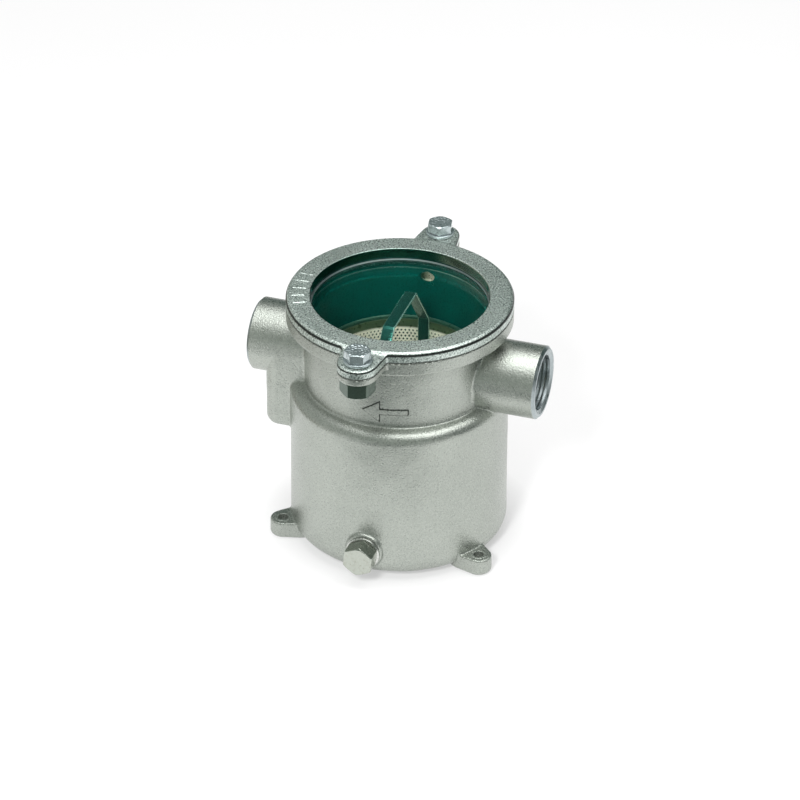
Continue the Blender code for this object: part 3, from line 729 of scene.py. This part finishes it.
def hex_cells(cells, pitch, hole):
    """Flat sheet of hexagonal cells with a hexagonal hole each: keyed points and faces.

    A cell (i, j) lies at i half pitches and j rows; its corners are shared with its neighbours.
    """
    size = pitch / 3**0.5
    corners = ((0, 2), (-1, 1), (-1, -1), (0, -2), (1, -1), (1, 1))
    places, faces = {}, []
    for i, j in cells:
        u, v = i * pitch / 2, j * 1.5 * size
        for n, (a, b) in enumerate(corners):
            places[(i + a, 3 * j + b)] = (u + a * pitch / 2, v + b * size / 2)
            places[(i, 3 * j, n)] = (u + a * hole / 2 * 0.577, v + b * hole / 4)
        for n in range(6):
            (a, b), (c, d) = corners[n], corners[(n + 1) % 6]
            outer = ((i + a, 3 * j + b), (i + c, 3 * j + d))
            inner = ((i, 3 * j, (n + 1) % 6), (i, 3 * j, n))
            faces.append(outer + inner)
    return places, faces


def sheet(name, points, faces, other_points, material):
    """A closed sheet: the faces on the first points, turned over on the second, and walls round the edges."""
    count = len(points)
    edges = {(a, b) for face in faces for a, b in zip(face, face[1:] + face[:1])}
    walls = [(b, a, a + count, b + count) for a, b in edges if (b, a) not in edges]
    back = [tuple(i + count for i in face[::-1]) for face in faces]
    mesh = bpy.data.meshes.new(name)
    mesh.from_pydata([Vector(p) * MM for p in points + other_points], [], faces + back + walls)
    mesh.validate()
    return linked(name, mesh, material)


def make_screen():
    """The basket's wall: staggered holes between two plain bands."""
    radius = SCREEN_HIGH.x
    low, high = SCREEN_LOW.z, SCREEN_HIGH.z
    columns = 128
    pitch = 2 * pi * radius / columns
    rows = 41
    first = low + 8.5
    cells = [(2 * i + j % 2, j) for j in range(rows) for i in range(columns)]
    places, faces = hex_cells(cells, pitch, HOLE)
    wide = 2 * columns
    faces = [tuple((key[0] % wide, *key[1:]) for key in face) for face in faces]
    last = rows - 1
    low_keys = [(i, -1 if i % 2 else -2) for i in range(wide)]
    high_keys = [(i, 3 * last + (2 if i % 2 == last % 2 else 1)) for i in range(wide)]
    spots = {}
    for key, (u, v) in places.items():
        spots[(key[0] % wide, *key[1:])] = (u / radius, first + v)
    for i in range(wide):
        spots[("low", i)] = (i * pitch / 2 / radius, low)
        spots[("high", i)] = (i * pitch / 2 / radius, high)
    for i in range(wide):
        j = (i + 1) % wide
        faces.append((("low", i), ("low", j), low_keys[j], low_keys[i]))
        faces.append((high_keys[i], high_keys[j], ("high", j), ("high", i)))
    order = {key: n for n, key in enumerate(spots)}
    faces = [tuple(order[key] for key in face) for face in faces]

    def ring(r):
        return [(r * cos(a), r * sin(a), z) for a, z in spots.values()]

    return sheet("visual_screen", ring(radius), faces, ring(radius - 0.8), SCREEN_STEEL)


def make_base():
    """The basket's bottom: a pierced disc with a plain border, and the lip that stands in the screen."""
    low = SCREEN_LOW.z
    lip_r = SCREEN_HIGH.x - 1.1
    pitch = 2.4
    reach = int(lip_r / pitch) + 2
    size = pitch / 3**0.5
    cells = []
    for j in range(-2 * reach, 2 * reach + 1):
        for i in range(-2 * reach, 2 * reach + 1):
            if (i + j) % 2 == 0 and hypot(i * pitch / 2, j * 1.5 * size) < lip_r - 5:
                cells.append((i, j))
    places, faces = hex_cells(cells, pitch, HOLE)
    edges = {(a, b) for face in faces for a, b in zip(face, face[1:] + face[:1])}
    border = {b: a for a, b in edges if (b, a) not in edges and len(a) == 2}
    for key in list(border):
        u, v = places[key]
        scale = (lip_r - 0.9) / hypot(u, v)
        places[("edge", *key)] = (u * scale, v * scale)
    for a, b in border.items():
        faces.append((a, b, ("edge", *b), ("edge", *a)))
    order = {key: n for n, key in enumerate(places)}
    faces = [tuple(order[key] for key in face) for face in faces]
    flat = [(u, v, low + 0.8) for u, v in places.values()]
    disc = sheet("visual_base", flat, faces, [(u, v, low) for u, v, z in flat], SHEET_STEEL)
    lip = turned("visual_lip", ring_profile(lip_r - 0.8, lip_r, low, low + 6.0, 0.25), SHEET_STEEL)
    return disc, lip


HOLE = 1.9


def make_handle():
    """The strap: a rounded strip bent over the basket."""
    leg_y = SCREEN_HIGH.x - 1.85
    corners = [(-leg_y, 70.0), (-leg_y, 105.7), (-19.6, 135.25)]
    corners += [(-y, z) for y, z in corners[::-1]]
    path = [Vector((corners[0][0], corners[0][1]))]
    for before, corner, after in zip(corners, corners[1:], corners[2:]):
        before, corner, after = Vector(before), Vector(corner), Vector(after)
        a, b = (before - corner).normalized(), (after - corner).normalized()
        reach = 2.5 / tan(a.angle(b) / 2)
        start, end = corner + a * reach, corner + b * reach
        for i in range(9):
            t = i / 8
            path.append((1 - t) ** 2 * start + 2 * t * (1 - t) * corner + t * t * end)
    path.append(Vector((corners[-1][0], corners[-1][1])))

    section = []
    for cx, cy, first in ((2.85, 0.2, 0), (-2.85, 0.2, 90), (-2.85, -0.2, 180), (2.85, -0.2, 270)):
        for i in range(4):
            a = radians(first + 30 * i)
            section.append((cx + 0.55 * cos(a), cy + 0.55 * sin(a)))
    points = []
    for i, spot in enumerate(path):
        along = (path[min(i + 1, len(path) - 1)] - path[max(i - 1, 0)]).normalized()
        side = Vector((-along.y, along.x))
        points += [(x, spot.x + side.x * t, spot.y + side.y * t) for x, t in section]
    size = len(section)
    faces = [tuple(range(size)), tuple(range(len(points) - 1, len(points) - 1 - size, -1))]
    for i in range(len(path) - 1):
        for j in range(size):
            k = (j + 1) % size
            faces.append((i * size + k, i * size + j, (i + 1) * size + j, (i + 1) * size + k))
    mesh = bpy.data.meshes.new("visual_handle")
    mesh.from_pydata([Vector(p) * MM for p in points], [], faces)
    mesh.validate()
    mesh.shade_smooth()
    mesh.set_sharp_from_angle(angle=radians(50))
    return linked("visual_handle", mesh, STRAP)


def make_rivet(name, sign, z):
    outside = SCREEN_HIGH.x + 0.3
    inside = SCREEN_HIGH.x - 2.9
    dome = [(2.7 * cos(radians(a)), 0.8 * sin(radians(a))) for a in (0, 25, 45, 62, 78, 90)]
    profile = [(0, inside - 0.8)] + [(r, inside - h) for r, h in dome[-2::-1]] + [(1.5, inside), (1.5, outside)]
    profile += [(r, outside + h) for r, h in dome]
    profile[-1] = (0, outside + 0.8)
    rivet = turned(name, profile, SHEET_STEEL, 32)
    rivet.data.transform(Matrix.Translation((0, 0, z * MM)) @ Matrix.Rotation(-sign * pi / 2, 4, "X"))
    return rivet


# ---------------------------------------------------------------- pieces


def make_port_end(side):
    """The end of a port, turned along its axis: the cast outside, then the machined face and threaded bore."""
    start, end, edge = SLEEVE_X, PORT_END_X, PORT_EDGE
    outside = [(SLEEVE_WALL_R - 0.6, start), (PORT_R + 0.03, start), (PORT_R + 0.03, end - edge)]
    outside += [(PORT_R - edge * 0.4, end - edge), (SLEEVE_WALL_R - 0.6, end - edge - 0.3)]
    cast = turned(f"visual_port_{side}", outside, CAST, 160)
    face = [(SLEEVE_WALL_R - 0.8, start + 0.5), (PORT_R - edge * 0.2, start + 0.5)]
    face += [(PORT_R - 0.02, end - edge), (PORT_R - edge, end), (PORT_MOUTH_R + 0.2, end)]
    face += [(PORT_MOUTH_R, end - 0.2), (PORT_BORE_R + 0.3, end - 1.2)]
    z = end - 1.4
    while z > start + 3.5:
        face += [(PORT_BORE_R + 0.3, z), (PORT_BORE_R, z - 1.0), (PORT_BORE_R, z - 1.2), (PORT_BORE_R + 0.3, z - 2.2)]
        z -= 2.309
    face += [(PORT_BORE_R, z), (PORT_BORE_R, start + 0.5)]
    return cast, turned(f"visual_port_face_{side}", face, MACHINED, 160, 20.0)


def finish(obj, body, slot, *nodes):
    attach(obj, body)
    if nodes:
        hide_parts(*nodes)


obj = net_of("visual_casting", casting, (-83.6, -83.6, -0.5), (83.6, 83.6, 142.8), 1.0, CAST)
finish(obj, "housing", "cast_nickel", "body_casting")

obj = net_of("visual_arrow", flow_arrow, (-5, -54, 98), (22, -46, 112), 0.3, CAST_MARK)
finish(obj, "housing", "cast_nickel")

for side, sign in (("inlet", 1), ("outlet", -1)):
    for obj in make_port_end(side):
        obj.data.transform(Matrix.Translation((0, 0, PORT_Z * MM)) @ Matrix.Rotation(sign * pi / 2, 4, "Y"))
        finish(obj, "housing", "cast_nickel", "body_casting")

for angle in FOOT_ANGLES:
    profile = ring_profile(FOOT_HOLE_R, FOOT_HOLE_R + 1.9, 0.3, FOOT_HEIGHT + 0.12, 0.3)
    obj = turned(f"visual_foot_hole_{angle:.0f}", profile, CAST, 48)
    spot = Vector((FOOT_CIRCLE_R * cos(radians(angle)), FOOT_CIRCLE_R * sin(radians(angle)), 0)) * MM
    obj.data.transform(Matrix.Translation(spot))
    finish(obj, "housing", "cast_nickel", "body_casting")

obj = net_of("visual_lid", lid, (-63, -83.6, 142), (63, 83.6, 149.5), 0.6, CAST_LID)
finish(obj, "lid", "cast_nickel", "lid_ring")

profile = ring_profile(OPENING_R - 0.5, OPENING_R + 0.6, GLASS_HIGH.z + 0.15, GLASS_HIGH.z + 0.75, 0.25)
finish(turned("visual_lid_spigot", profile, MACHINED, 192), "lid", "cast_nickel", "lid_ring")

low, high = GLASS_LOW.z, GLASS_HIGH.z
edge = [(GLASS_HIGH.x - 0.5 + 0.5 * sin(radians(a)), 0.5 * cos(radians(a))) for a in (0, 30, 60, 90)]
profile = [(0, low), (edge[0][0] - 0.1, low)] + [(r, low + 0.5 - h) for r, h in edge]
profile += [(r, high - 0.5 + h) for r, h in edge[::-1]] + [(edge[0][0] - 0.1, high), (0, high)]
obj = turned("visual_glass", profile, GLASS, 192)
finish(obj, "lid", "green_glass", "glass_disc")

for name, node_name, body in (("visual_seal", "glass_seal", "housing"), ("visual_cushion", "glass_cushion", "lid")):
    a, b = node_box(node_name)
    inner = 49.8 if node_name == "glass_seal" else 49.4
    obj = turned(name, ring_profile(inner, b.x, a.z, b.z, 0.25), RUBBER, 160)
    finish(obj, body, "black_rubber", node_name)

inner = SCREEN_HIGH.x + 0.3
rim_low, collar_top = RIM_LOW.z, RIM_HIGH.z
profile = [(inner, rim_low), (RIM_HIGH.x - 0.3, rim_low), (RIM_HIGH.x, rim_low + 0.3)]
profile += [(RIM_HIGH.x, rim_low + 1.3), (RIM_HIGH.x - 0.3, rim_low + 1.6), (47.2, rim_low + 1.6)]
profile += [(46.9, rim_low + 1.75), (46.8, rim_low + 2.1)]
profile += [(46.1 + 0.7 * cos(radians(a)), collar_top - 0.7 + 0.7 * sin(radians(a))) for a in range(0, 91, 15)]
profile += [(inner + 0.5, collar_top), (inner, collar_top - 0.5)]
obj = turned("visual_rim", profile, COLLAR, 160)
finish(obj, "basket", "sheet_steel", "basket_rim")

finish(make_screen(), "basket", "sheet_steel", "basket_screen")
for obj in make_base():
    finish(obj, "basket", "sheet_steel", "basket_base")
finish(make_handle(), "basket", "sheet_steel", "basket_handle")
for side, sign in (("front", -1), ("rear", 1)):
    for level, z in (("upper", 87.0), ("lower", 77.0)):
        obj = make_rivet(f"visual_rivet_{side}_{level}", sign, z)
        finish(obj, "basket", "sheet_steel", f"handle_rivet_{side}_{level}")

for side, sign, bolt_turn, nut_turn in (("front", -1, 13.0, 16.5), ("rear", 1, 41.0, 5.0)):
    y = sign * BOLT_Y

    def bolt(a, b, c):
        return lid_bolt(a, b - y, c, bolt_turn, BOLT_LOW.z + 20.0, BOLT_HIGH.z, BOLT_LOW.z)

    def nut(a, b, c):
        return lid_nut(a, b - y, c, nut_turn, NUT_LOW.z, NUT_HIGH.z)

    obj = net_of(f"visual_bolt_{side}", bolt, (-8, y - 8, BOLT_LOW.z), (8, y + 8, BOLT_HIGH.z), 0.3, BRIGHT)
    finish(obj, f"{side}_bolt", "bright_steel", f"lid_bolt_{side}")
    obj = net_of(f"visual_nut_{side}", nut, (-10, y - 10, NUT_LOW.z), (10, y + 10, NUT_HIGH.z), 0.35, NUT_PAINTED_SHADE)
    finish(obj, "housing", "bright_steel", f"lid_nut_{side}")
    profile = ring_profile(4.4, WASHER_HIGH.x, WASHER_LOW.z, WASHER_HIGH.z, 0.3)
    obj = turned(f"visual_washer_{side}", profile, BRIGHT, 96)
    obj.data.transform(Matrix.Translation((0, y * MM, 0)))
    finish(obj, f"{side}_washer", "bright_steel", f"lid_washer_{side}")

low = (-9.5, PLUG_LOW.y, DRAIN_Z - 9.5)
obj = net_of("visual_plug", drain_plug, low, (9.5, PLUG_HIGH.y, DRAIN_Z + 9.5), 0.33, PLUG)
finish(obj, "plug", "plated_brass", "drain_plug")
profile = ring_profile(5.7, PLUG_WASHER_HIGH.x, 0.0, PLUG_WASHER_HIGH.y - PLUG_WASHER_LOW.y, 0.3)
obj = turned("visual_plug_washer", profile, SOFT, 96)
flat = Matrix.Translation((0, PLUG_WASHER_HIGH.y * MM, DRAIN_Z * MM)) @ Matrix.Rotation(pi / 2, 4, "X")
obj.data.transform(flat)
finish(obj, "plug_washer", "soft_metal", "drain_washer")


# ---------------------------------------------------------------- stage


def glow(name, colour, strength):
    material, tree, shader = new_material(name)
    tree.nodes.remove(shader)
    made = node(tree, "ShaderNodeEmission")
    made.inputs["Color"].default_value = (*colour, 1.0)
    made.inputs["Strength"].default_value = strength
    tree.links.new(made.outputs[0], tree.nodes["Material Output"].inputs["Surface"])
    return material


def card(name, centre, half_u, half_v, colour, strength, seen=False, diffuse=False):
    """A lit or dark rectangle for reflections: its centre and two half sides, in metres."""
    centre, half_u, half_v = Vector(centre), Vector(half_u), Vector(half_v)
    corners = [centre + a * half_u + b * half_v for a, b in ((-1, -1), (1, -1), (1, 1), (-1, 1))]
    mesh = bpy.data.meshes.new(name)
    mesh.from_pydata(corners, [], [(0, 1, 2, 3)])
    obj = linked(name, mesh, glow(name, colour, strength))
    obj.visible_camera = seen
    obj.visible_diffuse = diffuse
    obj.visible_shadow = False
    return obj


def surround(name, start, end, colour):
    """A curved wall round the object that only reflections see, between two azimuths in degrees."""
    steps = 12
    angles = [radians(start + (end - start) * i / steps) for i in range(steps + 1)]
    points = [(WALL_R * cos(a), WALL_R * sin(a), z) for z in (0.0, WALL_TOP) for a in angles]
    mesh = bpy.data.meshes.new(name)
    mesh.from_pydata(points, [], [(i, i + 1, i + steps + 2, i + steps + 1) for i in range(steps)])
    obj = linked(name, mesh, glow(name, colour, 1.0))
    obj.visible_camera = obj.visible_diffuse = obj.visible_shadow = False
    return obj


WALL_R = 1.6
WALL_TOP = 1.9

floor_mesh = bpy.data.meshes.new("floor")
floor_mesh.from_pydata([(-6, -6, 0), (6, -6, 0), (6, 6, 0), (-6, 6, 0)], [], [(0, 1, 2, 3)])
floor_material, tree, shader = new_material("floor")
tint = noise(tree, place(tree), 3.0)
tree.links.new(mix_colour(tree, tint, (0.34, 0.34, 0.34), (0.36, 0.36, 0.36)), shader.inputs["Base Color"])
shader.inputs["Roughness"].default_value = 0.9
shader.inputs["Specular IOR Level"].default_value = 0.0
shader.inputs["Emission Color"].default_value = (1, 1, 1, 1)
# Painted contact shadow: the floor glows less within about 80 mm of the object's axis.
painted_shadow_reach = node(tree, "ShaderNodeVectorMath", operation="LENGTH")
tree.links.new(place(tree), painted_shadow_reach.inputs[0])
tree.links.new(ramp(tree, painted_shadow_reach.outputs["Value"], 0.058, 0.080, 0.46, 0.64), shader.inputs["Emission Strength"])
floor = linked("floor", floor_mesh, floor_material)
floor.location.z = -0.0003

softbox = card("softbox", (0.18, -0.02, 1.15), (0.475, 0, 0), (0, 0.40, 0), (1, 1, 1), 4.0, diffuse=True)
sky = card("sky", (0.36, -0.11, 1.25), (0.85, 0, 0), (0, 0.70, 0), (1, 1, 1), 2.2)
front_card = card("front_card", (0.1, -0.5, 0.001), (0.28, 0, 0), (0, 0.3, 0), (0.012, 0.045, 0.035), 1.0)
left_card = card("left_card", (-0.6, 0.1, 0.001), (0.35, 0, 0), (0, 0.42, 0), (0.24, 0.24, 0.19), 1.0)
walls = [
    surround("wall_back", 45, 135, (0.008, 0.050, 0.038)),
    surround("wall_left", 135, 235, (0.40, 0.43, 0.40)),
    surround("wall_front", 235, 320, (0.24, 0.28, 0.25)),
    surround("wall_right", 320, 405, (0.05, 0.08, 0.07)),
]
lamp = bpy.data.lights.new("key", "AREA")
lamp.shape = "DISK"
lamp.size = 0.3
lamp.energy = 20.0
key = bpy.data.objects.new("key", lamp)
bpy.context.scene.collection.objects.link(key)
key.visible_glossy = False
aim = Vector((0.0, -cos(radians(40)), sin(radians(40))))
key.matrix_world = aim.to_track_quat("Z", "Y").to_matrix().to_4x4()
key.matrix_world.translation = aim * 1.5 + Vector((0, 0, 0.1))

world = bpy.data.worlds.new("world")
world.use_nodes = True
world.node_tree.nodes["Background"].inputs["Color"].default_value = (1, 1, 1, 1)
seen = node(world.node_tree, "ShaderNodeLightPath").outputs["Is Camera Ray"]
world.node_tree.links.new(
    ramp(world.node_tree, seen, 0, 1, 0.45, 1.0), world.node_tree.nodes["Background"].inputs["Strength"]
)
world.cycles.sampling_method = "NONE"
bpy.context.scene.world = world
bpy.context.scene.view_settings.view_transform = "Standard"

azimuth, elevation, roll = radians(18.02), radians(32.573), radians(0.351)
back = Vector((sin(azimuth) * cos(elevation), -cos(azimuth) * cos(elevation), sin(elevation)))
right = Vector((cos(azimuth), sin(azimuth), 0))
up = back.cross(right)
lens = bpy.data.cameras.new("camera")
lens.sensor_width = 36.0
lens.lens = 158.967
lens.clip_start = 0.01
camera = bpy.data.objects.new("camera", lens)
turned_right = cos(roll) * right + sin(roll) * up
turned_up = -sin(roll) * right + cos(roll) * up
camera.matrix_world = Matrix((turned_right, turned_up, back)).transposed().to_4x4()
camera.matrix_world.translation = Vector((0, 0, 0.07974)) + right * 0.000315 + back * 1.964
bpy.context.scene.collection.objects.link(camera)
bpy.context.scene.camera = camera
